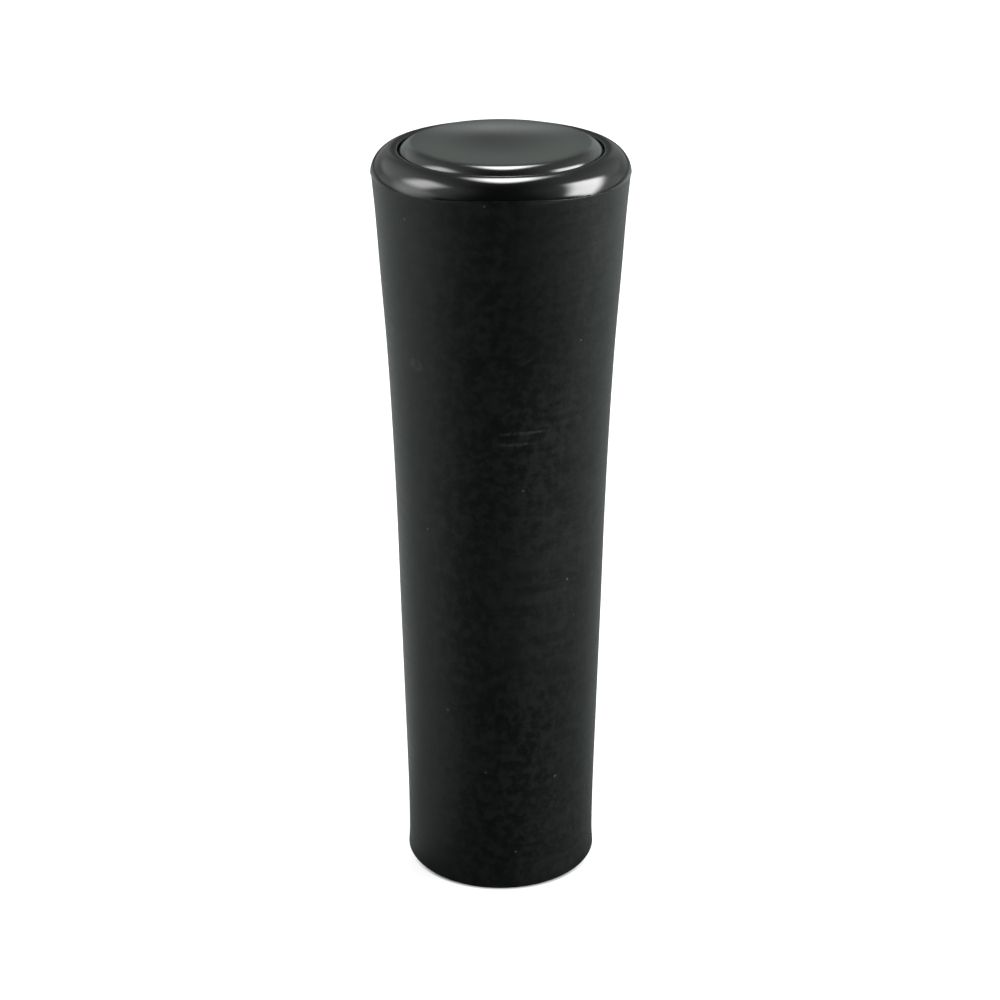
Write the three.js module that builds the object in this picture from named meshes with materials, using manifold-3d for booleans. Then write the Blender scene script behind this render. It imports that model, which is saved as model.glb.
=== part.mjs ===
// Free-standing tapered tool handle. Millimetres, +Z up, origin at the centre of the narrow foot.
// A soft sleeve covers a ribbed hard core. A glossy bull-nosed cap closes the wide end, held by one
// screw that hides under a satin disc. A brass insert in the foot takes the threaded stem of a tool.
import * as THREE from 'three';
import { mergeVertices } from 'three/addons/utils/BufferGeometryUtils.js';
import Module from 'manifold-3d';

const wasm = await Module();
wasm.setup();

// ---- driving dimensions ----
const GAP = 0.3; // clearance between pieces that touch

// Outside of the grip as [height, radius], joined by one smooth curve.
const GRIP_OUTLINE = [
  [0, 15.03], [2, 14.9], [6, 14.87], [14, 14.99], [29, 15.34], [44, 15.69], [58, 15.98],
  [72, 16.42], [86, 17.05], [98, 17.84], [107, 18.4], [113, 18.9],
];
const SEAM_Z = 112.9; // where the glossy cap meets the matte sleeve
const SLEEVE_WALL = 2.2;
const FOOT_EDGE = 0.2; // small chamfer on the sleeve's lower edge

const CREST_Z = 116.27; // top of the cap's rim
const NOSE_RING_R = 15.47; // radius of the rim's crest
const NOSE_WIDTH = 3.53; // the bull nose is a quarter ellipse from the crest outward and down
const NOSE_HEIGHT = 3.71;
const NOSE_Z = CREST_Z - NOSE_HEIGHT;
const RIM_LIP = 0.42; // width of the round from the rim's crest in to the disc recess
const LIP_DROP = 0.16;
const RECESS_R = NOSE_RING_R - RIM_LIP;

const CORE_WALL = 2.6;
const CORE_TOP_Z = 110.5;
const CORE_FLOOR_Z = 26; // bottom of the hollow inside the core
const MOUTH_R = 13.5; // bore that receives the cap's spigot
const MOUTH_Z = 103.2;
const RIB_THICKNESS = 1.8;
const RIB_TOP_Z = 102.9;
const POST_R = 5.2; // central post that takes the cap screw
const POST_TOP_Z = 107.5;

const STEM_INSERT_R = 7;
const STEM_BORE_R = 4.25; // tapping size of an M10 thread
const STEM_INSERT_LENGTH = 20;
const STEM_INSERT_Z = 0.4;
const STEM_FLANGE_R = 8.2;
const STEM_FLANGE_LENGTH = 1.2;

const SCREW_R = 2.5; // M5
const SCREW_HEAD_R = 4.6;
const SCREW_HEAD_HEIGHT = 2.6;
const SCREW_LENGTH = 14;
const DRIVE_R = 1.7; // hexagon socket, measured to its corners
const DRIVE_DEPTH = 1.4;
const WASHER_R = 5.4;
const WASHER_THICKNESS = 0.8;
const CAP_INSERT_R = 3.7;
const CAP_INSERT_LENGTH = 12;

const RECESS_Z = 113.9; // floor of the disc recess
const FLANGE_Z = CORE_TOP_Z + GAP; // underside of the cap's flange
const FLANGE_R = 16.1;
const SPIGOT_R = MOUTH_R - GAP;
const SPIGOT_WALL = 2.2;
const SPIGOT_Z = MOUTH_Z + GAP;
const CAP_BOSS_R = 7.2;
const CAP_BOSS_Z = POST_TOP_Z + GAP;
const POCKET_Z = 109.8; // floor of the screw pocket
const POCKET_R = 5.8;
const CAP_RIBS = 3;
const CAP_RIB_THICKNESS = 1.6;

const DISC_UNDER_Z = RECESS_Z + GAP;
const DISC_TOP_Z = 117.47; // crown of the gently domed face
const SHOULDER_R = 2.44; // the face rounds over towards the disc's upright edge
const SHOULDER_RING_R = 12.67;
const SHOULDER_Z = 114.67;
const EDGE_END = 34; // degrees on the shoulder's round (0 is outward) where the upright edge meets it
const FACE_END = 87.5; // and where the face takes over
const SKIRT_INNER_R = 10.4;
const SKIRT_OUTER_R = 11.5;
const SKIRT_LIP_R = 12.4; // lip that keeps the O-ring on the skirt
const SKIRT_LIP_HEIGHT = 0.35;
const SKIRT_DEPTH = 2;
const O_RING_SECTION_R = 0.45;
const O_RING_R = SKIRT_OUTER_R + GAP + O_RING_SECTION_R;
const O_RING_Z = 113.3;

const ROUND = 48; // facets round the large pieces
const SMALL_ROUND = 24; // facets round the inserts and the screw

// ---- shape helpers ----

// Radius of the grip at a height: a smooth curve through the outline's points.
function gripRadius(z) {
  const last = GRIP_OUTLINE.length - 1;
  let i = 0;
  while (i < last - 1 && z > GRIP_OUTLINE[i + 1][0]) i += 1;
  const slope = (k) => {
    const a = GRIP_OUTLINE[Math.max(k - 1, 0)];
    const b = GRIP_OUTLINE[Math.min(k + 1, last)];
    return (b[1] - a[1]) / (b[0] - a[0]);
  };
  const [z0, r0] = GRIP_OUTLINE[i];
  const [z1, r1] = GRIP_OUTLINE[i + 1];
  const span = z1 - z0;
  const t = (z - z0) / span;
  const bend = t * (1 - t) * span * (slope(i) * (1 - t) - slope(i + 1) * t);
  return r0 + (r1 - r0) * t * t * (3 - 2 * t) + bend;
}

// Evenly spaced heights from a to b, both included.
function heights(a, b, steps) {
  return Array.from({ length: steps + 1 }, (_, k) => a + ((b - a) * k) / steps);
}

// Points of an arc in the profile plane, from angle a to angle b in degrees (0 is outward, 90 is up).
function arc(r, z, width, height, a, b, steps) {
  return heights(a, b, steps).map((degrees) => {
    const angle = THREE.MathUtils.degToRad(degrees);
    return [r + width * Math.cos(angle), z + height * Math.sin(angle)];
  });
}

// Turns a profile of [radius, height] points about the Z axis. A profile runs anticlockwise when
// radius points right and height points up, and it closes on itself unless it meets the axis.
function turned(profile, facets) {
  const points = profile.map(([r, z]) => new THREE.Vector2(r, z));
  const onAxis = points[0].x === 0 && points[points.length - 1].x === 0;
  if (!onAxis) points.push(points[0].clone());
  const geometry = new THREE.LatheGeometry(points, facets);
  geometry.rotateX(Math.PI / 2);
  return geometry;
}

function toSolid(geometry) {
  const bare = geometry.clone();
  bare.deleteAttribute('normal');
  bare.deleteAttribute('uv');
  const merged = mergeVertices(bare, 1e-4);
  const index = [];
  const source = merged.index.array;
  for (let i = 0; i < source.length; i += 3) {
    const [a, b, c] = [source[i], source[i + 1], source[i + 2]];
    if (a !== b && b !== c && c !== a) index.push(a, b, c);
  }
  return new wasm.Manifold(new wasm.Mesh({
    numProp: 3,
    vertProperties: new Float32Array(merged.attributes.position.array),
    triVerts: new Uint32Array(index),
  }));
}

function toGeometry(solid) {
  const mesh = solid.getMesh();
  const geometry = new THREE.BufferGeometry();
  geometry.setAttribute('position', new THREE.BufferAttribute(mesh.vertProperties, 3));
  geometry.setIndex(new THREE.BufferAttribute(mesh.triVerts, 1));
  geometry.computeVertexNormals();
  return geometry;
}

// A flat rib that runs outward from the axis at an angle in degrees.
function radialRib(fromR, toR, thickness, lowZ, highZ, degrees) {
  const rib = new THREE.BoxGeometry(toR - fromR, thickness, highZ - lowZ);
  rib.translate((fromR + toR) / 2, 0, (lowZ + highZ) / 2);
  rib.rotateZ(THREE.MathUtils.degToRad(degrees));
  return rib;
}

function finish(color, roughness, metalness = 0) {
  return new THREE.MeshStandardMaterial({ color, roughness, metalness });
}

// ---- sub-parts ----

function gripSleeve() {
  const top = SEAM_Z - GAP / 2;
  const outside = heights(FOOT_EDGE, top, 16).map((z) => [gripRadius(z), z]);
  const inside = heights(top, 0, 10).map((z) => [gripRadius(z) - SLEEVE_WALL, z]);
  return turned([...inside, [gripRadius(0) - FOOT_EDGE, 0], ...outside], ROUND);
}

function handleCore() {
  const skin = SLEEVE_WALL + GAP;
  const outside = heights(0, CORE_TOP_Z, 10).map((z) => [gripRadius(z) - skin, z]);
  const hollow = heights(MOUTH_Z, CORE_FLOOR_Z, 6).map((z) => [gripRadius(z) - skin - CORE_WALL, z]);
  const boreR = STEM_INSERT_R + GAP;
  const boreEnd = STEM_INSERT_Z + STEM_INSERT_LENGTH + GAP;
  const flangeR = STEM_FLANGE_R + GAP;
  const flangeEnd = STEM_INSERT_Z + STEM_FLANGE_LENGTH + GAP;
  const shell = toSolid(turned([
    [0, boreEnd], [boreR, boreEnd], [boreR, flangeEnd], [flangeR, flangeEnd], [flangeR, 0],
    ...outside,
    [MOUTH_R, CORE_TOP_Z], [MOUTH_R, MOUTH_Z], ...hollow, [0, CORE_FLOOR_Z],
  ], ROUND));
  const socketR = CAP_INSERT_R + GAP;
  const socketEnd = POST_TOP_Z - GAP - CAP_INSERT_LENGTH - GAP;
  const sunk = CORE_FLOOR_Z - 1;
  const post = toSolid(turned([
    [0, sunk], [POST_R, sunk], [POST_R, POST_TOP_Z],
    [socketR, POST_TOP_Z], [socketR, socketEnd], [0, socketEnd],
  ], ROUND));
  let solid = shell.add(post);
  for (const degrees of [45, 135, 225, 315]) {
    const ribEnd = gripRadius(CORE_FLOOR_Z) - skin - 1;
    const lower = radialRib(POST_R - 0.6, ribEnd, RIB_THICKNESS, sunk, RIB_TOP_Z, degrees);
    const upper = ribToWall(degrees, ribEnd, skin);
    solid = solid.add(toSolid(lower)).add(upper);
  }
  return toGeometry(solid);
}

// The outer stretch of a core rib, which follows the widening wall.
function ribToWall(degrees, fromR, skin) {
  const inWall = (z) => gripRadius(z) - skin - CORE_WALL / 2;
  const outline = new THREE.Shape();
  outline.moveTo(fromR - 0.5, CORE_FLOOR_Z - 1);
  for (const z of heights(CORE_FLOOR_Z - 1, RIB_TOP_Z, 5)) outline.lineTo(inWall(z), z);
  outline.lineTo(fromR - 0.5, RIB_TOP_Z);
  const rib = new THREE.ExtrudeGeometry(outline, { depth: RIB_THICKNESS, bevelEnabled: false });
  rib.translate(0, 0, -RIB_THICKNESS / 2);
  rib.rotateX(Math.PI / 2);
  rib.rotateZ(THREE.MathUtils.degToRad(degrees));
  return toSolid(rib);
}

function stemInsert() {
  const low = STEM_INSERT_Z;
  const high = low + STEM_INSERT_LENGTH;
  const flangeTop = low + STEM_FLANGE_LENGTH;
  return turned([
    [STEM_BORE_R, high], [STEM_BORE_R, low], [STEM_FLANGE_R, low], [STEM_FLANGE_R, flangeTop],
    [STEM_INSERT_R, flangeTop], [STEM_INSERT_R, high],
  ], SMALL_ROUND);
}

function capInsert() {
  const high = POST_TOP_Z - GAP;
  const low = high - CAP_INSERT_LENGTH;
  const bore = SCREW_R + GAP;
  return turned([[bore, high], [bore, low], [CAP_INSERT_R, low], [CAP_INSERT_R, high]], SMALL_ROUND);
}

function endCap() {
  const lipZ = SEAM_Z + GAP / 2;
  const lipAngle = THREE.MathUtils.radToDeg(Math.asin((lipZ - NOSE_Z) / NOSE_HEIGHT));
  const nose = arc(NOSE_RING_R, NOSE_Z, NOSE_WIDTH, NOSE_HEIGHT, lipAngle, 90, 10);
  const innerLip = arc(NOSE_RING_R, CREST_Z - LIP_DROP, RIM_LIP, LIP_DROP, 120, 180, 2);
  const grooveOuterR = O_RING_R + O_RING_SECTION_R + GAP;
  const grooveInnerR = SKIRT_INNER_R - GAP;
  const grooveZ = DISC_UNDER_Z - SKIRT_DEPTH - GAP;
  const spigotInnerR = SPIGOT_R - SPIGOT_WALL;
  const holeR = SCREW_R + GAP;
  let solid = toSolid(turned([
    [holeR, POCKET_Z], [holeR, CAP_BOSS_Z], [CAP_BOSS_R, CAP_BOSS_Z], [CAP_BOSS_R, FLANGE_Z],
    [spigotInnerR, FLANGE_Z], [spigotInnerR, SPIGOT_Z], [SPIGOT_R, SPIGOT_Z], [SPIGOT_R, FLANGE_Z],
    [FLANGE_R, FLANGE_Z], [FLANGE_R, lipZ],
    ...nose, ...innerLip,
    [RECESS_R, RECESS_Z], [grooveOuterR, RECESS_Z], [grooveOuterR, grooveZ],
    [grooveInnerR, grooveZ], [grooveInnerR, RECESS_Z], [POCKET_R, RECESS_Z], [POCKET_R, POCKET_Z],
  ], ROUND));
  for (let k = 0; k < CAP_RIBS; k += 1) {
    const from = CAP_BOSS_R - 0.5;
    const to = spigotInnerR + 0.5;
    const rib = radialRib(from, to, CAP_RIB_THICKNESS, CAP_BOSS_Z, FLANGE_Z + 0.5, (360 * k) / CAP_RIBS);
    solid = solid.add(toSolid(rib));
  }
  return toGeometry(solid);
}

function capDisc() {
  const shoulder = arc(SHOULDER_RING_R, SHOULDER_Z, SHOULDER_R, SHOULDER_R, EDGE_END, FACE_END, 5);
  const edgeR = shoulder[0][0];
  const [faceR, faceZ] = shoulder[5];
  const rise = DISC_TOP_Z - faceZ;
  const dome = [0.7, 0.4].map((part) => [faceR * part, faceZ + rise * (1 - part * part)]);
  const skirtZ = DISC_UNDER_Z - SKIRT_DEPTH;
  const lipZ = skirtZ + SKIRT_LIP_HEIGHT;
  return turned([
    [0, DISC_UNDER_Z], [SKIRT_INNER_R, DISC_UNDER_Z], [SKIRT_INNER_R, skirtZ],
    [SKIRT_LIP_R, skirtZ], [SKIRT_LIP_R, lipZ], [SKIRT_OUTER_R, lipZ],
    [SKIRT_OUTER_R, DISC_UNDER_Z], [edgeR, DISC_UNDER_Z],
    ...shoulder, ...dome, [0, DISC_TOP_Z],
  ], ROUND);
}

function discORing() {
  return turned(arc(O_RING_R, O_RING_Z, O_RING_SECTION_R, O_RING_SECTION_R, 0, 315, 7), ROUND);
}

function capWasher() {
  const low = POCKET_Z + GAP;
  const high = low + WASHER_THICKNESS;
  const bore = SCREW_R + GAP;
  return turned([[bore, high], [bore, low], [WASHER_R, low], [WASHER_R, high]], SMALL_ROUND);
}

function capScrew() {
  const under = POCKET_Z + GAP + WASHER_THICKNESS + GAP;
  const top = under + SCREW_HEAD_HEIGHT;
  const tip = under - SCREW_LENGTH;
  const body = toSolid(turned([
    [0, tip], [SCREW_R - 0.6, tip], [SCREW_R, tip + 0.6], [SCREW_R, under],
    [SCREW_HEAD_R, under], [SCREW_HEAD_R, top - 1.2], [SCREW_HEAD_R - 0.5, top - 0.4],
    [SCREW_HEAD_R - 1.4, top], [0, top],
  ], SMALL_ROUND));
  const drive = new THREE.CylinderGeometry(DRIVE_R, DRIVE_R, DRIVE_DEPTH * 2, 6);
  drive.rotateX(Math.PI / 2);
  drive.translate(0, 0, top);
  return toGeometry(body.subtract(toSolid(drive)));
}

// ---- the assembly ----

const group = new THREE.Group();

function place(parent, name, geometry, material) {
  const mesh = new THREE.Mesh(geometry, material);
  mesh.name = name;
  parent.add(mesh);
}

const handle = new THREE.Group();
place(handle, 'grip_sleeve', gripSleeve(), finish(0x171918, 0.78));
place(handle, 'handle_core', handleCore(), finish(0x2b2d2e, 0.6));
place(handle, 'stem_insert', stemInsert(), finish(0xb08a4a, 0.35, 1));
place(handle, 'cap_screw_insert', capInsert(), finish(0xb08a4a, 0.35, 1));

const cap = new THREE.Group();
place(cap, 'end_cap', endCap(), finish(0x0d0d0e, 0.14));
place(cap, 'cap_washer', capWasher(), finish(0xa8abad, 0.35, 1));
place(cap, 'cap_screw', capScrew(), finish(0x9da0a3, 0.3, 1));

const cover = new THREE.Group();
place(cover, 'cap_disc', capDisc(), finish(0x2a2f2c, 0.34));
place(cover, 'disc_o_ring', discORing(), finish(0x101010, 0.6));

group.add(handle, cap, cover);

export default group;
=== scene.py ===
"""Looks of the tapered tool handle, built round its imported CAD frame. The axis is Z and the foot is at z = 0.

Profiles are lists of (radius, height) in millimetres, and meshes and everything else are in metres.
"""
import math

import bmesh
import bpy
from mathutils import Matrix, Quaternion, Vector

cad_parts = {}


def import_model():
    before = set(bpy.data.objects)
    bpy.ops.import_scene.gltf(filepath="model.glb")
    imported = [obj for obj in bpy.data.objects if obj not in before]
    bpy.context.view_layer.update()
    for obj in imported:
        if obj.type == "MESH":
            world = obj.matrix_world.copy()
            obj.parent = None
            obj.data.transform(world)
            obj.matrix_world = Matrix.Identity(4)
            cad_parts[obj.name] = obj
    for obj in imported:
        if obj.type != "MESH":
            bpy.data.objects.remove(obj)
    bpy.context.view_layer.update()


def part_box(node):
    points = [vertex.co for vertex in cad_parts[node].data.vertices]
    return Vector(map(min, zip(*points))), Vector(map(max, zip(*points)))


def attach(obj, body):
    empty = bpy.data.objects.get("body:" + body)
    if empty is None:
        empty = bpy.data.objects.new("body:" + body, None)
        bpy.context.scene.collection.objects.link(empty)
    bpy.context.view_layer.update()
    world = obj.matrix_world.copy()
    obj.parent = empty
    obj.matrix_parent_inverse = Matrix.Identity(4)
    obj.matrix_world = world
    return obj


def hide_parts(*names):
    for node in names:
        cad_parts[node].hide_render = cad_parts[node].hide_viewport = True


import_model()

MM = 0.001
TAU = 2 * math.pi


# ---- sizes, from the frame ----

def node_span(node):
    """(lowest z, highest z, largest radius) of a CAD node, in millimetres."""
    low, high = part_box(node)
    return low.z / MM, high.z / MM, high.x / MM


SLEEVE_TOP = node_span("grip_sleeve")[1]
CAP_LOW, CREST, _ = node_span("end_cap")
DISC_LOW, DISC_TOP, _ = node_span("cap_disc")
CORE_TOP = node_span("handle_core")[1]
STEM_LOW, STEM_HIGH, STEM_FLANGE_R = node_span("stem_insert")
CAP_INSERT_LOW, CAP_INSERT_HIGH, CAP_INSERT_R = node_span("cap_screw_insert")
WASHER_LOW, WASHER_HIGH, WASHER_R = node_span("cap_washer")
SCREW_TIP, SCREW_TOP, SCREW_HEAD_R = node_span("cap_screw")
RING_LOW, RING_HIGH, RING_OUTER_R = node_span("disc_o_ring")

GAP = 0.3  # clearance that the CAD keeps between touching pieces
SEAM = SLEEVE_TOP + GAP / 2

# Outside of the grip as (height, radius): a slight flare at the foot, a waist, then a widening taper.
GRIP_OUTLINE = [
    (0, 15.03), (2, 14.9), (6, 14.87), (14, 14.99), (29, 15.34), (44, 15.69), (58, 15.98),
    (72, 16.42), (86, 17.05), (98, 17.84), (107, 18.4), (113, 18.9),
]
NOSE_RING_R = 15.47  # radius of the rim's crest
NOSE_WIDTH = 3.53
NOSE_HEIGHT = 3.71
NOSE_Z = CREST - NOSE_HEIGHT
RIM_LIP = 0.42  # width of the rounding from the crest in to the groove
LIP_DROP = 0.16
RECESS_R = NOSE_RING_R - RIM_LIP
LIP_OVERHANG = 0.03  # how far the cap's lip stands over the sleeve
SLEEVE_WALL = 2.2
CORE_WALL = 2.6

# The seam's wave and the nick in the cap's lip. Angles are in degrees from the front, to the right.
SEAM_LIFT = 0.82
SEAM_LIFT_AT = 3
SEAM_LIFT_WIDTH = 33
NICK_DEPTH = 0.16
NICK_AT = 40
NICK_WIDTH = 1.5
SLEEVE_EASE = 0.04  # how softly the sleeve's radius turns in under the lip

# Inner sizes that the frame's boxes don't give, as the CAD has them.
CAP_SPIGOT_R = 13.2
SPIGOT_WALL = 2.2
CAP_FLANGE_R = 16.1
CAP_HOLE_R = 2.8
CAP_BOSS_R = 7.2
CAP_BOSS_Z = 107.8
CAP_POCKET_R = 5.8
GROOVE_OUTER_R = 13.0
GROOVE_INNER_R = 10.1
GROOVE_Z = DISC_LOW - GAP
SKIRT_INNER_R = 10.4
SKIRT_OUTER_R = 11.5
SKIRT_LIP_R = 12.4
SKIRT_LIP = 0.35
SKIRT_DEPTH = 2.0
SHOULDER_R = 2.44  # radius of the disc's shoulder, from its upright edge to its face
SHOULDER_RING_R = 12.67
SHOULDER_Z = 114.67
EDGE_END = 34  # degrees round the shoulder, from outward
FACE_END = 87.5
MOUTH_R = 13.5
MOUTH_Z = 103.2
CORE_FLOOR = 26.0
POST_R = 5.2
POST_TOP = 107.5
RIB_TOP = 102.9
STEM_R = 7.0
STEM_FLANGE_TOP = STEM_LOW + 1.2
STEM_BORE_R = 4.25  # M10
RIB_HALF = 0.9  # half the thickness of the core's ribs at their foot

# Sizes that only the visual model has.
CAP_POCKET_Z = WASHER_LOW - 0.02  # the washer sits on the pocket's floor
SCREW_BORE_R = 2.6  # to the crests of the insert's thread, M5
SCREW_SHANK_R = 2.45  # to the crests of the screw's thread
WASHER_HOLE_R = 2.75
SCREW_HEX_R = 1.73  # to the corners of the screw's hexagon socket
M5_PITCH = 0.8
KNURL_TEETH = 30
KNURL_DEPTH = 0.16
RIB_DRAFT = 0.15  # how much of their half thickness the ribs lose upward

FINE = 288  # steps round the large pieces
MEDIUM = 144
SMALL = 96


def grip_radius(z):
    """Radius of the grip at a height: a smooth curve through the outline's points."""
    last = len(GRIP_OUTLINE) - 1
    i = 0
    while i < last - 1 and z > GRIP_OUTLINE[i + 1][0]:
        i += 1

    def slope(k):
        (za, ra), (zb, rb) = GRIP_OUTLINE[max(k - 1, 0)], GRIP_OUTLINE[min(k + 1, last)]
        return (rb - ra) / (zb - za)

    (z0, r0), (z1, r1) = GRIP_OUTLINE[i], GRIP_OUTLINE[i + 1]
    span = z1 - z0
    t = (z - z0) / span
    bend = t * (1 - t) * span * (slope(i) * (1 - t) - slope(i + 1) * t)
    return r0 + (r1 - r0) * t * t * (3 - 2 * t) + bend


def nose_radius(z):
    """Outer radius of the rim's bull nose at a height."""
    rise = min(max((z - NOSE_Z) / NOSE_HEIGHT, 0), 1)
    return NOSE_RING_R + NOSE_WIDTH * math.sqrt(1 - rise * rise)


def sleeve_radius(z):
    """Outer radius of the sleeve: the grip's, eased in where it would reach past the cap's lip."""
    grip, lip = grip_radius(z), nose_radius(z) - LIP_OVERHANG
    return (grip + lip - math.hypot(grip - lip, SLEEVE_EASE)) / 2


def degrees_from_front(angle):
    """Degrees from the front, to the right, of an angle from +X."""
    return math.degrees(math.remainder(angle + math.pi / 2, TAU))


def seam_height(angle):
    """Height of the seam at an angle from +X: the cap's lower lip lifts at the front."""
    off = (degrees_from_front(angle) - SEAM_LIFT_AT) / SEAM_LIFT_WIDTH
    return SEAM + SEAM_LIFT * math.exp(-off ** 2)


# ---- mesh helpers ----

def spread(a, b, steps):
    return [a + (b - a) * k / steps for k in range(steps + 1)]


def arc(r, z, width, height, a, b, steps):
    """Points of an elliptic arc in the profile plane, in degrees: 0 points outward, 90 up."""
    return [(r + width * math.cos(math.radians(d)), z + height * math.sin(math.radians(d)))
            for d in spread(a, b, steps)]


def rounded(corners, steps=4):
    """A profile with rounded corners, from (radius, height, rounding) ones. The first and last stay sharp."""
    points = [corners[0][:2]]
    for before, here, after in zip(corners, corners[1:], corners[2:]):
        p = Vector(here[:2])
        to_before = Vector(before[:2]) - p
        to_after = Vector(after[:2]) - p
        size = here[2] if len(here) > 2 else 0
        cut = min(size, to_before.length * 0.49, to_after.length * 0.49)
        if cut < 1e-4:
            points.append(tuple(p))
            continue
        start = p + to_before.normalized() * cut
        end = p + to_after.normalized() * cut
        for k in range(steps + 1):
            t = k / steps
            q = start * (1 - t) ** 2 + p * 2 * t * (1 - t) + end * t ** 2
            points.append(tuple(q))
    points.append(corners[-1][:2])
    return points


def turned(name, profile, steps, sharp=35):
    """A solid of revolution. profile is a list of (radius, height), or a function of the angle that gives
    one. It closes on itself, or starts and ends on the axis."""
    shape = profile if callable(profile) else lambda angle: profile
    first = shape(0.0)
    on_axis = abs(first[0][0]) < 1e-6 and abs(first[-1][0]) < 1e-6
    mesh = bpy.data.meshes.new(name)
    bm = bmesh.new()
    poles = {}
    if on_axis:
        for k in (0, len(first) - 1):
            poles[k] = bm.verts.new((0, 0, first[k][1] * MM))
    columns = []
    for s in range(steps):
        angle = TAU * s / steps
        c, d = math.cos(angle) * MM, math.sin(angle) * MM
        columns.append([poles.get(k) or bm.verts.new((r * c, r * d, z * MM))
                        for k, (r, z) in enumerate(shape(angle))])
    count = len(first)
    rows = range(count - 1) if on_axis else range(count)
    for s in range(steps):
        a, b = columns[s], columns[(s + 1) % steps]
        for k in rows:
            n = (k + 1) % count
            corners = [a[k], b[k], b[n], a[n]]
            unique = [v for i, v in enumerate(corners) if v not in corners[:i]]
            bm.faces.new(unique)
    bmesh.ops.recalc_face_normals(bm, faces=bm.faces)
    bm.to_mesh(mesh)
    bm.free()
    return finish_mesh(name, mesh, sharp)


def finish_mesh(name, mesh, sharp=35):
    obj = bpy.data.objects.new(name, mesh)
    bpy.context.scene.collection.objects.link(obj)
    smooth(mesh, sharp)
    return obj


def smooth(mesh, sharp):
    mesh.shade_smooth()
    mesh.set_sharp_from_angle(angle=math.radians(sharp))


def prism(name, outline, low, high):
    """A straight solid over a closed outline of (x, y) points in millimetres."""
    bm = bmesh.new()
    floor = [bm.verts.new((x * MM, y * MM, low * MM)) for x, y in outline]
    roof = [bm.verts.new((x * MM, y * MM, high * MM)) for x, y in outline]
    bm.faces.new(list(reversed(floor)))
    bm.faces.new(roof)
    for k in range(len(outline)):
        n = (k + 1) % len(outline)
        bm.faces.new((floor[k], floor[n], roof[n], roof[k]))
    mesh = bpy.data.meshes.new(name)
    bm.to_mesh(mesh)
    bm.free()
    return finish_mesh(name, mesh)


def combine(base, others, operation, sharp=35):
    """Joins the others to base or cuts them from it, and removes them."""
    for other in others:
        step = base.modifiers.new("step", "BOOLEAN")
        step.operation = operation
        step.object = other
        step.solver = "EXACT"
    graph = bpy.context.evaluated_depsgraph_get()
    mesh = bpy.data.meshes.new_from_object(base.evaluated_get(graph))
    base.modifiers.clear()
    base.data = mesh
    mesh.name = base.name
    for other in others:
        bpy.data.objects.remove(other)
    smooth(mesh, sharp)
    return base


def place(piece, body, node, material):
    piece.data.materials.clear()
    piece.data.materials.append(material)
    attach(piece, body)
    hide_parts(node)
    return piece


# ---- materials ----

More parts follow.
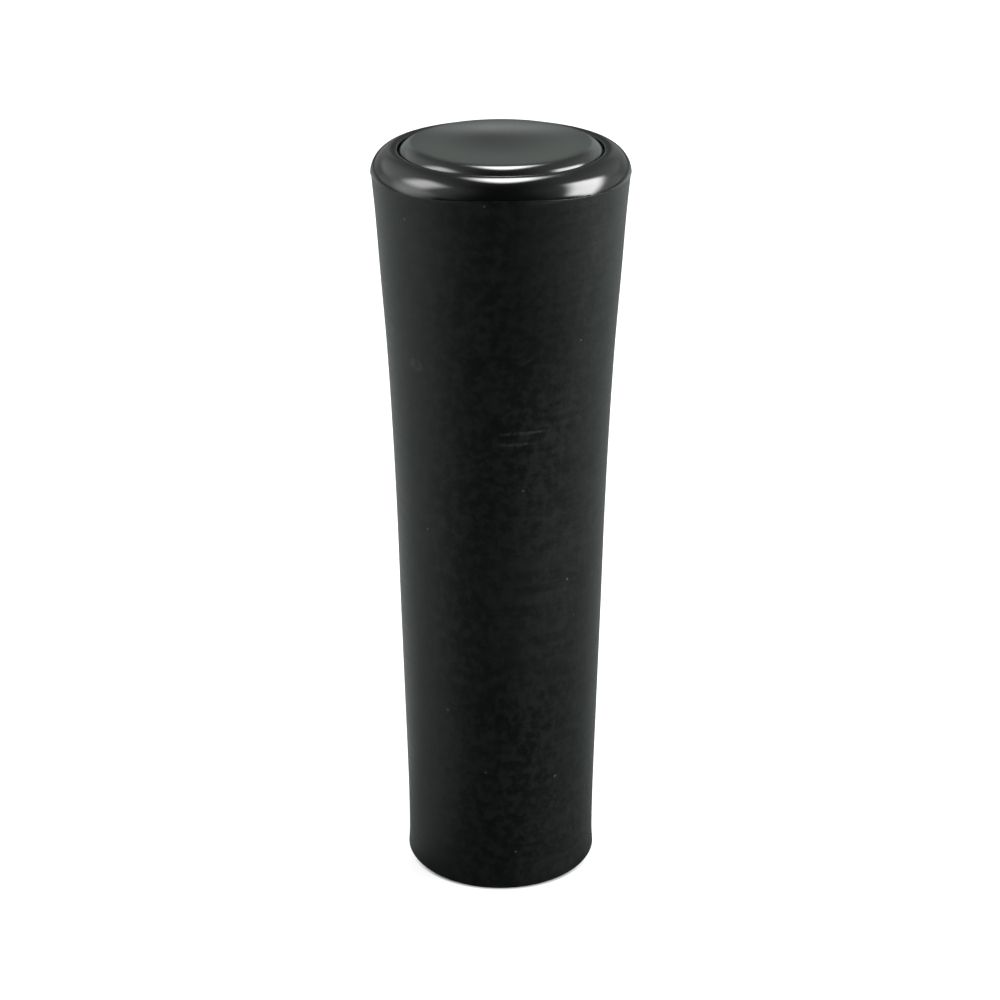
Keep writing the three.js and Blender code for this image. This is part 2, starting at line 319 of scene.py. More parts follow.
class Nodes:
    """Short hand for building a material's node tree."""

    def __init__(self, name):
        self.material = bpy.data.materials.new(name)
        self.material.use_nodes = True
        self.tree = self.material.node_tree
        self.shader = self.tree.nodes["Principled BSDF"]
        self.coords = self.add("ShaderNodeTexCoord").outputs["Object"]

    def add(self, kind, **settings):
        node = self.tree.nodes.new(kind)
        for key, value in settings.items():
            setattr(node, key, value)
        return node

    def link(self, source, target):
        self.tree.links.new(source, target)

    def stretched(self, x, y, z):
        """The object coordinates multiplied axis by axis."""
        mapping = self.add("ShaderNodeMapping")
        mapping.inputs["Scale"].default_value = (x, y, z)
        self.link(self.coords, mapping.inputs["Vector"])
        return mapping.outputs["Vector"]

    def noise(self, scale, detail=4, roughness=0.55, vector=None):
        node = self.add("ShaderNodeTexNoise")
        node.inputs["Scale"].default_value = scale
        node.inputs["Detail"].default_value = detail
        node.inputs["Roughness"].default_value = roughness
        self.link(vector or self.coords, node.inputs["Vector"])
        return node.outputs["Fac"]

    def ramp(self, value, low, high, to_low=0.0, to_high=1.0):
        node = self.add("ShaderNodeMapRange", clamp=True, interpolation_type="SMOOTHSTEP")
        self.link(value, node.inputs["Value"])
        node.inputs["From Min"].default_value = low
        node.inputs["From Max"].default_value = high
        node.inputs["To Min"].default_value = to_low
        node.inputs["To Max"].default_value = to_high
        return node.outputs["Result"]

    def math(self, operation, a, b):
        node = self.add("ShaderNodeMath", operation=operation)
        for socket, value in zip(node.inputs, (a, b)):
            if isinstance(value, (int, float)):
                socket.default_value = value
            else:
                self.link(value, socket)
        return node.outputs["Value"]

    def mix(self, factor, a, b):
        node = self.add("ShaderNodeMix", data_type="RGBA")
        self.link(factor, node.inputs["Factor"])
        for name, value in (("A", a), ("B", b)):
            socket = next(s for s in node.inputs if s.name == name and s.type == "RGBA")
            if isinstance(value, tuple):
                socket.default_value = (*value, 1)
            else:
                self.link(value, socket)
        return next(s for s in node.outputs if s.type == "RGBA")

    def off_axis(self):
        """Distance from the Z axis, in metres."""
        node = self.add("ShaderNodeVectorMath", operation="LENGTH")
        self.link(self.stretched(1, 1, 0), node.inputs[0])
        return node.outputs["Value"]

    def specks(self, scale, size, share):
        """1 inside small round specks, in a given share of the cells of a 3-D grid."""
        cells = self.add("ShaderNodeTexVoronoi")
        cells.inputs["Scale"].default_value = scale
        self.link(self.coords, cells.inputs["Vector"])
        chosen = self.add("ShaderNodeSeparateColor")
        self.link(cells.outputs["Color"], chosen.inputs["Color"])
        near = self.ramp(cells.outputs["Distance"], size, size * 0.4)
        pick = self.math("GREATER_THAN", chosen.outputs["Red"], 1 - share)
        return self.math("MULTIPLY", near, pick)

    def patch(self, angle, height, half_width, half_height, lean=0.0):
        """1 at a spot on the side, falling softly to 0 at the edge of an ellipse. angle is in degrees from
        the front, to the right. The other sizes are in millimetres, and lean is how much it climbs for each
        one sideways."""
        axes = self.add("ShaderNodeSeparateXYZ")
        self.link(self.coords, axes.inputs["Vector"])
        turn = self.math("ARCTAN2", axes.outputs["X"], self.math("MULTIPLY", axes.outputs["Y"], -1.0))
        turn = self.math("SUBTRACT", turn, math.radians(angle))
        side = self.math("MULTIPLY", turn, grip_radius(height) * MM)
        up = self.math("SUBTRACT", axes.outputs["Z"], height * MM)
        up = self.math("SUBTRACT", up, self.math("MULTIPLY", side, lean))
        squares = []
        for part, half in ((side, half_width), (up, half_height)):
            share = self.math("ABSOLUTE", self.math("DIVIDE", part, half * MM), 0)
            squares.append(self.math("POWER", share, 2.0))
        return self.ramp(self.math("ADD", *squares), 1.0, 0.0)

    def bump(self, height, strength, distance):
        node = self.add("ShaderNodeBump")
        node.inputs["Strength"].default_value = strength
        node.inputs["Distance"].default_value = distance
        self.link(height, node.inputs["Height"])
        self.link(node.outputs["Normal"], self.shader.inputs["Normal"])

    def set(self, **values):
        for key, value in values.items():
            socket = self.shader.inputs[key.replace("_", " ")]
            if isinstance(value, tuple):
                socket.default_value = (*value, 1)
            elif isinstance(value, (int, float)):
                socket.default_value = value
            else:
                self.link(value, socket)


def soft_rubber():
    """Matte black sleeve: mottled, with fine horizontal rubs and sparse dust. At the front right it has a
    streaked worn patch, a cleaner dark one above it and three pale scuffs, and at the left a smudge."""
    n = Nodes("soft_rubber")
    clean = (0.0008, 0.0016, 0.0012)
    cloud = n.noise(90, 3)
    grain = n.noise(1100, 5, 0.65)
    rubs = n.noise(1.0, 5, 0.6, n.stretched(60, 60, 1500))
    haze = n.math("MULTIPLY", n.ramp(cloud, 0.35, 0.75), n.ramp(rubs, 0.3, 0.8))
    mottle = n.math("ADD", n.noise(560, 4, 0.6), n.math("MULTIPLY", grain, 0.7))
    contrast = n.math("ADD", n.math("MULTIPLY", n.patch(-2, 58, 13, 90), 0.7), 0.35)
    mottle = n.math("MULTIPLY", n.math("SUBTRACT", n.ramp(mottle, 0.72, 1.02), 0.5), contrast)
    base = n.mix(n.math("ADD", mottle, 0.48), clean, (0.0115, 0.0134, 0.0123))
    base = n.mix(n.math("MULTIPLY", haze, 0.5), base, (0.013, 0.0138, 0.0134))
    streaks = n.ramp(n.noise(1.0, 4, 0.6, n.stretched(50, 50, 700)), 0.4, 0.65, 0.4, 1.0)
    worn = n.math("MULTIPLY", n.patch(17, 52, 8.5, 23), streaks)
    base = n.mix(n.math("MULTIPLY", worn, 0.64), base, (0.0165, 0.0175, 0.017))
    darker_patch = n.patch(21, 101, 8, 24)
    base = n.mix(n.math("MULTIPLY", darker_patch, 0.6), base, clean)
    scuffs = n.math("MAXIMUM", n.patch(11, 78.2, 5.0, 0.34, 0.03), n.patch(8, 76.5, 3.6, 0.38))
    scuffs = n.math("MAXIMUM", scuffs, n.patch(12.3, 89.3, 1.1, 0.24, 0.46))
    scuffs = n.math("MULTIPLY", scuffs, n.ramp(grain, 0.35, 0.6))
    base = n.mix(n.math("MULTIPLY", scuffs, 0.6), base, (0.05, 0.052, 0.051))
    smudge = n.math("MULTIPLY", n.patch(-46, 87.1, 1.7, 1.2), n.ramp(grain, 0.3, 0.6))
    base = n.mix(n.math("MULTIPLY", smudge, 0.5), base, (0.055, 0.055, 0.052))
    dust = n.specks(260, 0.055, 0.2)
    for angle, height in ((-7, 112.9), (-47, 109.3), (-66, 91), (11.5, 69), (-43, 61), (39, 53),
                          (-32, 31), (-9, 21), (34, 19), (9, 6.5)):
        dust = n.math("MAXIMUM", dust, n.patch(angle, height, 0.27, 0.27))
    base = n.mix(n.math("MULTIPLY", dust, 0.8), base, (0.08, 0.08, 0.078))
    n.set(Base_Color=base, Roughness=n.ramp(n.math("ADD", grain, rubs), 0.6, 1.4, 0.27, 0.36),
          Specular_IOR_Level=0.43)
    n.bump(n.math("ADD", grain, n.math("MULTIPLY", rubs, 0.6)), 0.25, 0.00004)
    return n.material


def gloss_plastic():
    """Polished black rim with faint smears and hairline wear."""
    n = Nodes("gloss_plastic")
    smear = n.noise(140, 3)
    hairs = n.noise(1.0, 3, 0.5, n.stretched(400, 400, 2600))
    base = n.mix(smear, (0.0016, 0.0017, 0.0018), (0.0035, 0.0036, 0.0037))
    wear = n.math("ADD", smear, n.math("MULTIPLY", hairs, 0.4))
    n.set(Base_Color=base, Roughness=n.ramp(wear, 0.5, 1.0, 0.1, 0.17))
    n.bump(n.math("ADD", n.noise(300, 2), n.math("MULTIPLY", hairs, 0.1)), 0.12, 0.00003)
    return n.material


def satin_plastic():
    """Smooth greenish grey-black disc, darker in the middle, hazier outward, and with painted shade darkening
    its front shoulder."""
    n = Nodes("satin_plastic")
    tone = n.noise(80, 3)
    grain = n.noise(2600, 4, 0.6)
    base = n.mix(n.ramp(n.off_axis(), 0.001, 0.011), (0.0115, 0.0135, 0.0124), (0.0335, 0.0388, 0.0360))
    base = n.mix(n.math("MULTIPLY", n.ramp(tone, 0.3, 0.8), 0.3), base, (0.030, 0.034, 0.031))
    # Painted shade: the disc's shoulder is darkened towards black on its front side only.
    depth = n.add("ShaderNodeSeparateXYZ")
    n.link(n.coords, depth.inputs["Vector"])
    shoulder = n.ramp(n.off_axis(), 0.0118, 0.0136)
    darker_patch = n.math("MULTIPLY", shoulder, n.ramp(depth.outputs["Y"], -0.0025, -0.0075))
    base = n.mix(darker_patch, base, (0.007, 0.007, 0.007))
    dust = n.specks(420, 0.05, 0.06)
    base = n.mix(n.math("MULTIPLY", dust, 0.5), base, (0.08, 0.08, 0.08))
    n.set(Base_Color=base, Roughness=n.ramp(n.math("ADD", tone, grain), 0.6, 1.4, 0.10, 0.15))
    n.bump(grain, 0.02, 0.00001)
    return n.material


def core_plastic():
    """Moulded hard plastic, fine sparked texture."""
    n = Nodes("core_plastic")
    tone = n.noise(120, 3)
    grain = n.noise(1800, 4, 0.7)
    n.set(Base_Color=n.mix(tone, (0.022, 0.024, 0.026), (0.036, 0.038, 0.04)))
    n.set(Roughness=n.ramp(grain, 0.3, 0.7, 0.42, 0.58))
    n.bump(grain, 0.3, 0.00003)
    return n.material


def metal(name, dark, light, rough_low, rough_high, turning):
    """Turned or plated metal with fine rings round Z and a little tarnish."""
    n = Nodes(name)
    stain = n.noise(350, 4)
    rings = n.noise(1.0, 2, 0.5, n.stretched(turning, turning, 9000))
    n.set(Base_Color=n.mix(n.ramp(stain, 0.3, 0.75), dark, light), Metallic=1.0)
    n.set(Roughness=n.ramp(n.math("ADD", stain, rings), 0.6, 1.4, rough_low, rough_high))
    n.bump(rings, 0.25, 0.00001)
    return n.material


def ring_rubber():
    """Smooth dark rubber of the O-ring, slightly greasy."""
    n = Nodes("ring_rubber")
    tone = n.noise(500, 3)
    n.set(Base_Color=n.mix(tone, (0.006, 0.006, 0.006), (0.014, 0.014, 0.014)))
    n.set(Roughness=n.ramp(tone, 0.3, 0.7, 0.3, 0.5))
    n.bump(tone, 0.1, 0.00002)
    return n.material


# ---- pieces ----

def grip_sleeve():
    edge = 0.03  # rounding of the top edge, which hides under the cap's lip
    foot = 0.12

    def profile(angle):
        top = seam_height(angle) - 0.01
        points = []
        for d in spread(-90, 0, 5)[:-1]:
            points.append((grip_radius(0) - foot + foot * math.cos(math.radians(d)),
                           foot + foot * math.sin(math.radians(d))))
        for z in spread(foot, top - 2, 104)[:-1] + spread(top - 2, top - edge, 16):
            points.append((sleeve_radius(z), z))
        r = sleeve_radius(top)
        for d in spread(0, 90, 4)[1:]:
            points.append((r - edge + edge * math.cos(math.radians(d)),
                           top - edge + edge * math.sin(math.radians(d))))
        inner = grip_radius(SLEEVE_TOP) - SLEEVE_WALL
        points.append((inner + 0.15, top))
        for z in spread(SLEEVE_TOP - 0.15, 0.2, 40):
            points.append((grip_radius(z) - SLEEVE_WALL, z))
        points.append((grip_radius(0) - SLEEVE_WALL + 0.2, 0))
        return points

    return turned("grip_sleeve_soft", profile, FINE)


def end_cap():
    # The lip's underside starts from a level ring, so at the front, where the seam lifts, the sleeve's top
    # edge reaches up to 0.5 mm into it.
    edge = 0.04
    recess_floor = DISC_LOW + 1.7
    spigot_r = CAP_SPIGOT_R
    spigot_inner_r = spigot_r - SPIGOT_WALL
    flange_z = CORE_TOP + GAP

    def profile(angle):
        off = (degrees_from_front(angle) - NICK_AT) / NICK_WIDTH
        lip = seam_height(angle) + NICK_DEPTH * math.exp(-off ** 2)
        points = rounded([
            (CAP_HOLE_R, CAP_POCKET_Z), (CAP_HOLE_R, CAP_BOSS_Z, 0.2), (CAP_BOSS_R, CAP_BOSS_Z, 0.3),
            (CAP_BOSS_R, flange_z, 0.4), (spigot_inner_r, flange_z, 0.4),
            (spigot_inner_r, CAP_LOW, 0.3), (spigot_r, CAP_LOW, 0.5), (spigot_r, flange_z, 0.2),
            (CAP_FLANGE_R, flange_z, 0.2), (CAP_FLANGE_R, SEAM + 0.1, 0.1), (nose_radius(lip) - edge, lip),
        ], 3)
        rise = math.degrees(math.asin((lip + edge - NOSE_Z) / NOSE_HEIGHT))
        points += arc(NOSE_RING_R, NOSE_Z, NOSE_WIDTH, NOSE_HEIGHT, rise, 90, 40)
        points += arc(NOSE_RING_R, CREST - LIP_DROP, RIM_LIP, LIP_DROP, 96, 180, 12)
        points += rounded([
            (RECESS_R, CREST - LIP_DROP - 0.05), (RECESS_R, recess_floor, 0.15),
            (GROOVE_OUTER_R, recess_floor, 0.15), (GROOVE_OUTER_R, GROOVE_Z, 0.2),
            (GROOVE_INNER_R, GROOVE_Z, 0.2), (GROOVE_INNER_R, recess_floor, 0.15),
            (CAP_POCKET_R, recess_floor, 0.3), (CAP_POCKET_R, CAP_POCKET_Z + 0.01),
        ], 3)
        return points

    cap = turned("end_cap_gloss", profile, FINE)
    ribs = []
    for k in range(3):
        a = TAU * k / 3
        from_r, to_r, half = CAP_BOSS_R - 0.5, spigot_inner_r + 0.5, 0.8
        along, across = Vector((math.cos(a), math.sin(a))), Vector((-math.sin(a), math.cos(a)))
        outline = [along * r + across * w
                   for r, w in ((from_r, -half), (to_r, -half), (to_r, half), (from_r, half))]
        ribs.append(prism(f"rib_{k}", outline, CAP_BOSS_Z + 0.15, flange_z + 0.5))
    return combine(cap, ribs, "UNION")


def cap_disc():
    under = DISC_LOW + SKIRT_DEPTH
    shoulder = arc(SHOULDER_RING_R, SHOULDER_Z, SHOULDER_R, SHOULDER_R, EDGE_END, FACE_END, 30)
    edge_r = shoulder[0][0]
    face_r, face_z = shoulder[-1]
    rise = DISC_TOP - face_z
    crown = [(face_r * part, face_z + rise * (1 - part ** 2)) for part in spread(1, 0, 24)[1:]]
    profile = rounded([
        (0, under), (SKIRT_INNER_R, under, 0.3),
        (SKIRT_INNER_R, DISC_LOW, 0.15), (SKIRT_LIP_R, DISC_LOW, 0.15),
        (SKIRT_LIP_R, DISC_LOW + SKIRT_LIP, 0.1), (SKIRT_OUTER_R, DISC_LOW + SKIRT_LIP, 0.05),
        (SKIRT_OUTER_R, under, 0.1), (edge_r, under, 0.15), shoulder[0],
    ], 3)
    return turned("cap_disc_satin", profile[:-1] + shoulder + crown, FINE)


def disc_o_ring():
    section = (RING_HIGH - RING_LOW) / 2
    ring = arc(RING_OUTER_R - section, RING_LOW + section, section, section, 0, 345, 23)
    return turned("disc_o_ring_black", ring, FINE)


def handle_core():
    skin = SLEEVE_WALL + 0.12
    outside = [(grip_radius(z) - skin, z) for z in spread(0.25, CORE_TOP - 0.25, 40)]
    hollow = [(grip_radius(z) - SLEEVE_WALL - GAP - CORE_WALL, z) for z in spread(MOUTH_Z, CORE_FLOOR, 24)]
    shell = turned("handle_core_moulded", rounded([
        (0, STEM_HIGH + 0.2), (STEM_R + 0.02, STEM_HIGH + 0.2, 0.3), (STEM_R + 0.02, STEM_FLANGE_TOP + 0.05),
        (STEM_FLANGE_R + 0.08, STEM_FLANGE_TOP + 0.05, 0.1), (STEM_FLANGE_R + 0.08, 0, 0.25),
        (grip_radius(0) - skin, 0, 0.25), outside[0],
    ], 3) + outside[1:] + rounded([
        (grip_radius(CORE_TOP) - skin, CORE_TOP), (MOUTH_R, CORE_TOP, 0.35), (MOUTH_R, MOUTH_Z, 0.15),
        hollow[0],
    ], 3)[1:] + hollow[1:-1] + [
        (hollow[-1][0], CORE_FLOOR + 0.5), (hollow[-1][0] - 0.5, CORE_FLOOR), (0, CORE_FLOOR),
    ], MEDIUM)
    sunk = CORE_FLOOR - 1
    post = turned("post", rounded([
        (0, sunk), (POST_R, sunk), (POST_R - 0.1, POST_TOP, 0.4), (CAP_INSERT_R + 0.02, POST_TOP, 0.15),
        (CAP_INSERT_R + 0.02, CAP_INSERT_LOW - GAP, 0.2), (0, CAP_INSERT_LOW - GAP),
    ], 3), SMALL)
    parts = [post]
    for k in range(4):
        parts.append(core_rib(TAU * (k + 0.5) / 4, sunk))
    return combine(shell, parts, "UNION")


def core_rib(angle, low):
    """One rib of the core: a thin plate with draft that runs from the post into the widening wall."""
    along = Vector((math.cos(angle), math.sin(angle), 0))
    across = Vector((-math.sin(angle), math.cos(angle), 0))
    bm = bmesh.new()
    rings = []
    for z in spread(low, RIB_TOP, 16):
        half = RIB_HALF - RIB_DRAFT * (z - low) / (RIB_TOP - low)
        outer = grip_radius(z) - SLEEVE_WALL - GAP - CORE_WALL / 2
        inner = POST_R - 0.6
        up = Vector((0, 0, z))
        corners = [along * r + across * w + up
                   for r, w in ((inner, -half), (outer, -half), (outer, half), (inner, half))]
        rings.append([bm.verts.new(c * MM) for c in corners])
    for a, b in zip(rings, rings[1:]):
        for k in range(4):
            n = (k + 1) % 4
            bm.faces.new((a[k], a[n], b[n], b[k]))
    bm.faces.new(list(reversed(rings[0])))
    bm.faces.new(rings[-1])
    mesh = bpy.data.meshes.new("core_rib")
    bm.to_mesh(mesh)
    bm.free()
    return finish_mesh("core_rib", mesh)


def thread_wave(z, angle, pitch):
    """0 at a thread's root and 1 at its crest, at a height and an angle."""
    t = (z / pitch - angle / TAU) % 1
    return min(max(abs(t - 0.5) * 2.6 - 0.25, 0), 1)


def insert_profile(low, high, outer, bore, depth, pitch, flange_r=None, flange_top=None):
    """A knurled insert with an internal thread cut outward from its bore, as a function of the angle."""
    chamfer = depth + 0.15
    inner_z = spread(high - chamfer, low + chamfer, int((high - low - 2 * chamfer) / pitch * 10))
    knurl_low = (flange_top or low) + 0.6
    knurl_z = spread(knurl_low, high - 0.6, int((high - knurl_low) / 0.35))

    def profile(angle):
        points = [(bore + chamfer, high)]
        for z in inner_z:
            points.append((bore + depth * (1 - thread_wave(z, angle, pitch)), z))
        points.append((bore + chamfer, low))
        if flange_r:
            points += [(flange_r - 0.25, low), (flange_r, low + 0.25), (flange_r, flange_top - 0.15),
                       (flange_r - 0.15, flange_top), (outer - 0.35, flange_top)]
        else:
            points += [(outer - 0.4, low), (outer - 0.3, low + 0.3)]
        for z in knurl_z:
            teeth = math.cos(KNURL_TEETH * angle + z * 3.2) * math.cos(KNURL_TEETH * angle - z * 3.2)
            points.append((outer - KNURL_DEPTH + KNURL_DEPTH * teeth, z))
        points += [(outer - 0.35, high - 0.3), (outer - 0.5, high)]
        return points

    return profile


def stem_insert():
    profile = insert_profile(
        STEM_LOW, STEM_HIGH, STEM_R, STEM_BORE_R, depth=0.75, pitch=1.5,
        flange_r=STEM_FLANGE_R, flange_top=STEM_FLANGE_TOP)
    return turned("stem_insert_brass", profile, FINE, 30)


def cap_screw_insert():
    profile = insert_profile(
        CAP_INSERT_LOW, CAP_INSERT_HIGH, CAP_INSERT_R, SCREW_BORE_R, depth=0.35, pitch=M5_PITCH)
    return turned("cap_screw_insert_brass", profile, MEDIUM, 30)


def cap_washer():
    middle = (WASHER_LOW + WASHER_HIGH) / 2
    profile = rounded([
        (WASHER_HOLE_R, middle), (WASHER_HOLE_R, WASHER_LOW, 0.1), (WASHER_R, WASHER_LOW, 0.15),
        (WASHER_R, WASHER_HIGH, 0.25), (WASHER_HOLE_R, WASHER_HIGH, 0.15), (WASHER_HOLE_R, middle + 0.01),
    ], 4)
    return turned("cap_washer_steel", profile, SMALL)


def cap_screw():
    under = WASHER_HIGH + 0.02
    shank = SCREW_SHANK_R
    shank_z = spread(SCREW_TIP + 0.8, under - 1.6, 130)

    def profile(angle):
        points = [(0, SCREW_TIP), (shank - 0.9, SCREW_TIP), (shank - 0.5, SCREW_TIP + 0.35)]
        for z in shank_z:
            points.append((shank - 0.42 + 0.42 * thread_wave(z, angle, M5_PITCH), z))
        points += [(shank - 0.25, under - 1.3), (shank - 0.1, under - 0.3), (shank + 0.15, under)]
        points += [(SCREW_HEAD_R - 0.2, under), (SCREW_HEAD_R - 0.02, under + 0.18)]
        points += arc(SCREW_HEAD_R - 1.7, under + 0.5, 1.7, SCREW_TOP - under - 0.5, 4, 84, 14)
        points += [(2.1, SCREW_TOP), (0, SCREW_TOP)]
        return points

    screw = turned("cap_screw_steel", profile, SMALL, 30)
    hexagon = [(SCREW_HEX_R * math.cos(TAU * k / 6), SCREW_HEX_R * math.sin(TAU * k / 6)) for k in range(6)]
    socket = prism("socket", hexagon, SCREW_TOP - 1.5, SCREW_TOP + 1)
    cone = [(0, SCREW_TOP - 0.35), (1.55, SCREW_TOP - 0.35), (2.1, SCREW_TOP + 0.2), (0, SCREW_TOP + 0.2)]
    mouth = turned("mouth", cone, SMALL)
    return combine(screw, [socket, mouth], "DIFFERENCE", 30)


brass = metal("turned_brass", (0.42, 0.27, 0.09), (0.62, 0.43, 0.17), 0.2, 0.36, 300)
steel = metal("plated_steel", (0.42, 0.43, 0.44), (0.6, 0.61, 0.62), 0.22, 0.36, 300)
place(grip_sleeve(), "handle", "grip_sleeve", soft_rubber())
place(handle_core(), "handle", "handle_core", core_plastic())
place(stem_insert(), "handle", "stem_insert", brass)
place(cap_screw_insert(), "handle", "cap_screw_insert", brass)
place(end_cap(), "cap", "end_cap", gloss_plastic())
place(cap_washer(), "cap", "cap_washer", steel)
place(cap_screw(), "cap", "cap_screw", steel)
place(cap_disc(), "disc", "cap_disc", satin_plastic())
place(disc_o_ring(), "disc", "disc_o_ring", ring_rubber())


# ---- studio ----

# Brightness of the room's parts, as reflections see them.
ROOM_DARK = 0.02
ROOM_BACK = 0.16
ROOM_LEFT = 1.0
ROOM_RIGHT = 0.6
ROOM_HORIZON = 0.37
ROOM_ENDS = 0.5
BACKDROP = 0.8  # what the camera sees past the floor

FLOOR_GLOW = 0.75  # to the camera
# Colours of the floor in reflections: in front, at the sides and far off.
FLOOR_DIM_MIDDLE = (0.055, 0.06, 0.056)
FLOOR_DIM_LEFT = (0.215, 0.233, 0.224)
FLOOR_DIM_RIGHT = (0.14, 0.152, 0.147)
FLOOR_DIM_FAR = (0.02, 0.021, 0.02)
FLOOR_DIM_ASIDE = (0.42, 0.45, 0.43)

CAP_CENTRE = Vector((0, 0, CREST * MM))
LIGHT_DISTANCE = 0.9
CAMERA_LENS = 84.8
CAMERA_PLACE = (-0.00013, -0.33274, 0.20581)
CAMERA_TILT = 23.58  # degrees down from level


def floor():
    """A pale floor. The camera sees it nearly white, as in the photograph, where it is overexposed, with a
    painted contact shadow, a thin dark line at the front of the foot. Reflections see it much dimmer, and
    darkest in front and far off."""
    bm = bmesh.new()
    bmesh.ops.create_grid(bm, x_segments=2, y_segments=2, size=3.0)
    mesh = bpy.data.meshes.new("floor")
    bm.to_mesh(mesh)
    bm.free()
    obj = finish_mesh("floor", mesh)
    obj.location.z = -0.02 * MM  # just clear of the foot
    n = Nodes("floor_paper")
    tone = n.noise(6, 3)
    paper = n.mix(tone, (0.30, 0.30, 0.30), (0.32, 0.32, 0.32))
    n.set(Base_Color=paper, Roughness=0.9, Specular_IOR_Level=0.0)
    heading = n.add("ShaderNodeVectorMath", operation="NORMALIZE")
    n.link(n.coords, heading.inputs[0])
    side = n.add("ShaderNodeSeparateXYZ")
    n.link(heading.outputs["Vector"], side.inputs["Vector"])
    foot = grip_radius(0)
    # Painted contact shadow: the glow that the camera sees is dimmed in a thin band round the front of the
    # foot.
    near_foot = n.ramp(n.off_axis(), (foot + 0.75) * MM, foot * MM)
    shade = n.math("MULTIPLY", near_foot, n.ramp(side.outputs["Y"], -0.3, -0.8))
    glow = n.math("MULTIPLY", n.math("SUBTRACT", 1.0, shade), FLOOR_GLOW)
    n.set(Emission_Color=(1.0, 1.0, 1.0), Emission_Strength=glow)
    left = n.mix(n.ramp(side.outputs["Y"], -1.0, -0.1), FLOOR_DIM_MIDDLE, FLOOR_DIM_LEFT)
    right = n.mix(n.ramp(side.outputs["Y"], -0.7, 0.95), FLOOR_DIM_MIDDLE, FLOOR_DIM_RIGHT)
    near = n.mix(n.ramp(side.outputs["X"], -0.4, 0.4), left, right)
    dim = n.add("ShaderNodeBsdfDiffuse")
    aside = n.math("ABSOLUTE", side.outputs["X"], 0)
    near = n.mix(n.ramp(aside, 0.05, 0.4), FLOOR_DIM_MIDDLE, near)
    far = n.mix(n.ramp(aside, 0.1, 0.7), FLOOR_DIM_FAR, FLOOR_DIM_ASIDE)
    n.link(n.mix(n.ramp(n.off_axis(), 0.3, 0.46), near, far), dim.inputs["Color"])
    path = n.add("ShaderNodeLightPath")
    choose = n.add("ShaderNodeMixShader")
    n.link(path.outputs["Is Camera Ray"], choose.inputs["Fac"])
    n.link(dim.outputs["BSDF"], choose.inputs[1])
    n.link(n.shader.outputs["BSDF"], choose.inputs[2])
    n.link(choose.outputs["Shader"], n.tree.nodes["Material Output"].inputs["Surface"])
    obj.data.materials.append(n.material)


def softbox(name, direction, width, height, radiance, fade, roll=0):
    """An area light in a direction from the cap, facing it. radiance is in display white. The light fades
    towards its edges over the shares fade = (sides, bottom, top) of its size. A single number for fade makes
    it an oval that fades all round. roll turns it about the line to the cap."""
    data = bpy.data.lights.new(name, "AREA")
    data.shape = "RECTANGLE"
    data.size, data.size_y = width, height
    data.energy = radiance * math.pi * width * height
    data.use_nodes = True
    tree = data.node_tree

    def ramp(value, low, high):
        node = tree.nodes.new("ShaderNodeMapRange")
        node.interpolation_type = "SMOOTHSTEP"
        tree.links.new(value, node.inputs["Value"])
        node.inputs["From Min"].default_value = low
        node.inputs["From Max"].default_value = high
        return node.outputs["Result"]

    def distance_from_middle(point):
        offset = tree.nodes.new("ShaderNodeVectorMath")
        offset.operation = "DISTANCE"
        offset.inputs[1].default_value = (0.5, 0.5, 0)
        flat = tree.nodes.new("ShaderNodeVectorMath")
        flat.operation = "MULTIPLY"
        flat.inputs[1].default_value = (1, 1, 0)
        tree.links.new(point, flat.inputs[0])
        tree.links.new(flat.outputs["Vector"], offset.inputs[0])
        return offset.outputs["Value"]

    def times(a, b):
        node = tree.nodes.new("ShaderNodeMath")
        node.operation = "MULTIPLY"
        tree.links.new(a, node.inputs[0])
        tree.links.new(b, node.inputs[1])
        return node.outputs["Value"]

    spot = tree.nodes.new("ShaderNodeNewGeometry").outputs["Parametric"]
    if isinstance(fade, tuple):
        axes = tree.nodes.new("ShaderNodeSeparateXYZ")
        tree.links.new(spot, axes.inputs["Vector"])
        sides, bottom, top = fade
        across = times(ramp(axes.outputs["X"], 0, sides), ramp(axes.outputs["X"], 1, 1 - sides))
        upward = times(ramp(axes.outputs["Y"], 0, bottom), ramp(axes.outputs["Y"], 1, 1 - top))
        shape = times(across, upward)
    else:
        shape = ramp(distance_from_middle(spot), 0.5, 0.5 - fade)
    tree.links.new(shape, tree.nodes["Emission"].inputs["Strength"])
    obj = bpy.data.objects.new(name, data)
    bpy.context.scene.collection.objects.link(obj)
    to_light = Vector(direction).normalized()
    obj.location = CAP_CENTRE + to_light * LIGHT_DISTANCE
    obj.rotation_mode = "QUATERNION"
    facing = to_light.to_track_quat("Z", "Y")
    obj.rotation_quaternion = facing @ Quaternion((0, 0, 1), math.radians(roll))


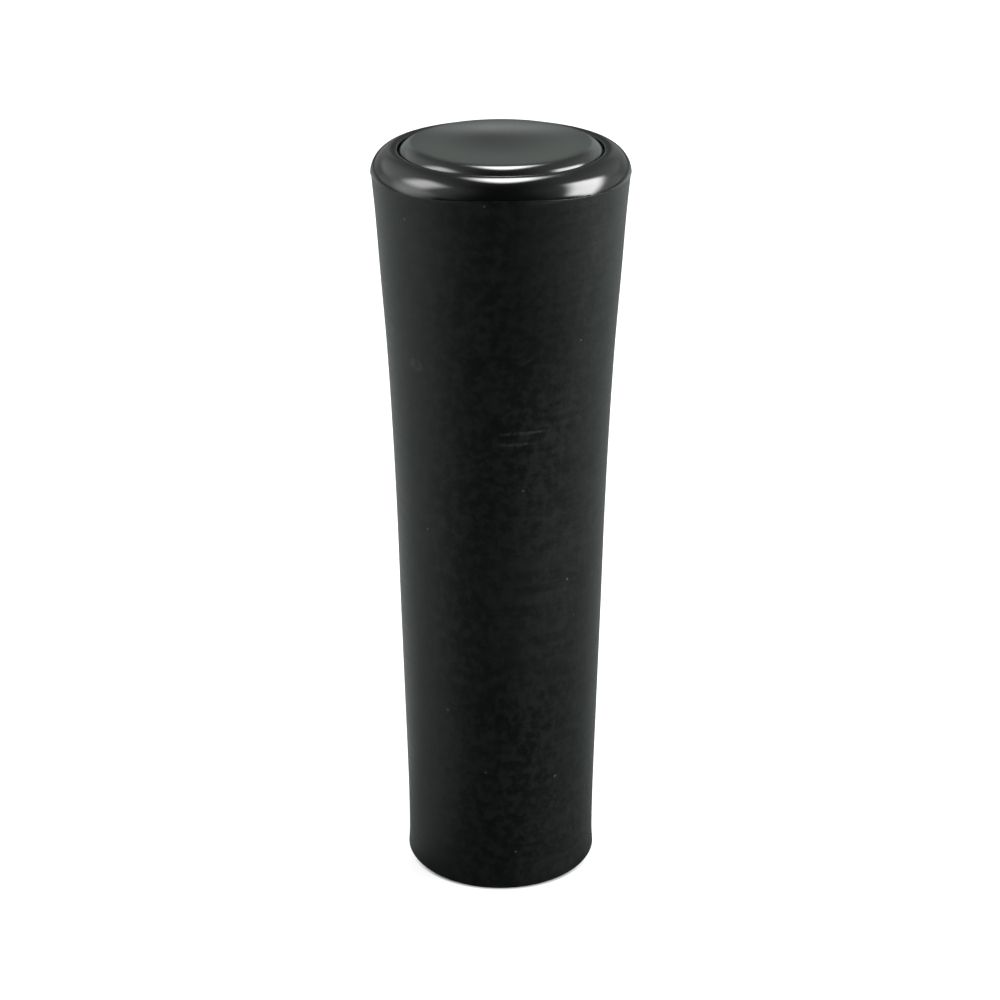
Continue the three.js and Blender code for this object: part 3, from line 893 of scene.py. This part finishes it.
def world():
    """A dim room: walls that lighten upward from the horizon and towards the left, and nearly black in front.
    The camera sees a plain pale backdrop instead, where the floor ends."""
    data = bpy.data.worlds.new("room")
    data.use_nodes = True
    tree = data.node_tree
    coords = tree.nodes.new("ShaderNodeTexCoord")
    axes = tree.nodes.new("ShaderNodeSeparateXYZ")
    tree.links.new(coords.outputs["Generated"], axes.inputs["Vector"])

    def ramp(axis, low, high, to_high):
        node = tree.nodes.new("ShaderNodeMapRange")
        node.interpolation_type = "SMOOTHSTEP"
        tree.links.new(axes.outputs[axis], node.inputs["Value"])
        for key, number in (("From Min", low), ("From Max", high), ("To Max", to_high)):
            node.inputs[key].default_value = number
        return node.outputs["Result"]

    def math_node(operation, a, b):
        node = tree.nodes.new("ShaderNodeMath")
        node.operation = operation
        for socket, value in zip(node.inputs, (a, b)):
            if isinstance(value, float):
                socket.default_value = value
            else:
                tree.links.new(value, socket)
        return node.outputs["Value"]

    back = ramp("Y", -0.3, 0.4, ROOM_BACK)
    sides = math_node("ADD", ramp("X", -0.1, -0.8, ROOM_LEFT), ramp("X", 0.1, 0.8, ROOM_RIGHT))
    sides = math_node("MULTIPLY", sides, ramp("Y", -0.95, -0.35, 1.0))
    upper = math_node("MULTIPLY", math_node("ADD", back, sides), ramp("Z", 0.12, 0.32, 1.0))
    horizon = math_node("ADD", ramp("X", -0.04, -0.2, ROOM_HORIZON), ramp("X", 0.04, 0.2, ROOM_HORIZON))
    ends = math_node("ADD", ramp("X", -0.65, -0.9, ROOM_ENDS), ramp("X", 0.65, 0.9, ROOM_ENDS))
    horizon = math_node("ADD", horizon, ends)
    horizon = math_node("MULTIPLY", horizon, ramp("Y", -0.4, 0.2, 1.0))
    horizon = math_node("MULTIPLY", horizon, ramp("Z", 0.55, 0.3, 1.0))
    total = math_node("ADD", math_node("MAXIMUM", upper, horizon), ROOM_DARK)
    seen = math_node("MULTIPLY", tree.nodes.new("ShaderNodeLightPath").outputs["Is Camera Ray"], BACKDROP)
    tree.links.new(math_node("MAXIMUM", total, seen), tree.nodes["Background"].inputs["Strength"])
    tree.nodes["Background"].inputs["Color"].default_value = (0.95, 1.0, 0.97, 1)
    bpy.context.scene.world = data


floor()
world()
softbox("top_box", (0.02, 0.51, 0.86), 0.35, 0.80, 20, 0.4)
softbox("left_box", (-0.75, 0.0, 0.64), 0.64, 0.68, 8, (0.4, 0.4, 0.3))
softbox("left_fill", (-0.98, -0.1, 0.20), 1.10, 0.80, 2.6, 0.45)
softbox("right_box", (0.9, -0.06, 0.44), 0.72, 0.92, 16, (0.3, 0.15, 0.2), roll=-37)
softbox("back_glow", (0.0, 0.98, 0.186), 0.17, 0.075, 0.8, 0.5)

camera_data = bpy.data.cameras.new("camera")
camera_data.lens = CAMERA_LENS
camera_data.sensor_width = 36
camera_data.clip_start = 0.01
camera = bpy.data.objects.new("camera", camera_data)
bpy.context.scene.collection.objects.link(camera)
camera.location = CAMERA_PLACE
camera.rotation_euler = (math.radians(90 - CAMERA_TILT), 0, 0)
bpy.context.scene.camera = camera
bpy.context.scene.view_settings.view_transform = "Standard"
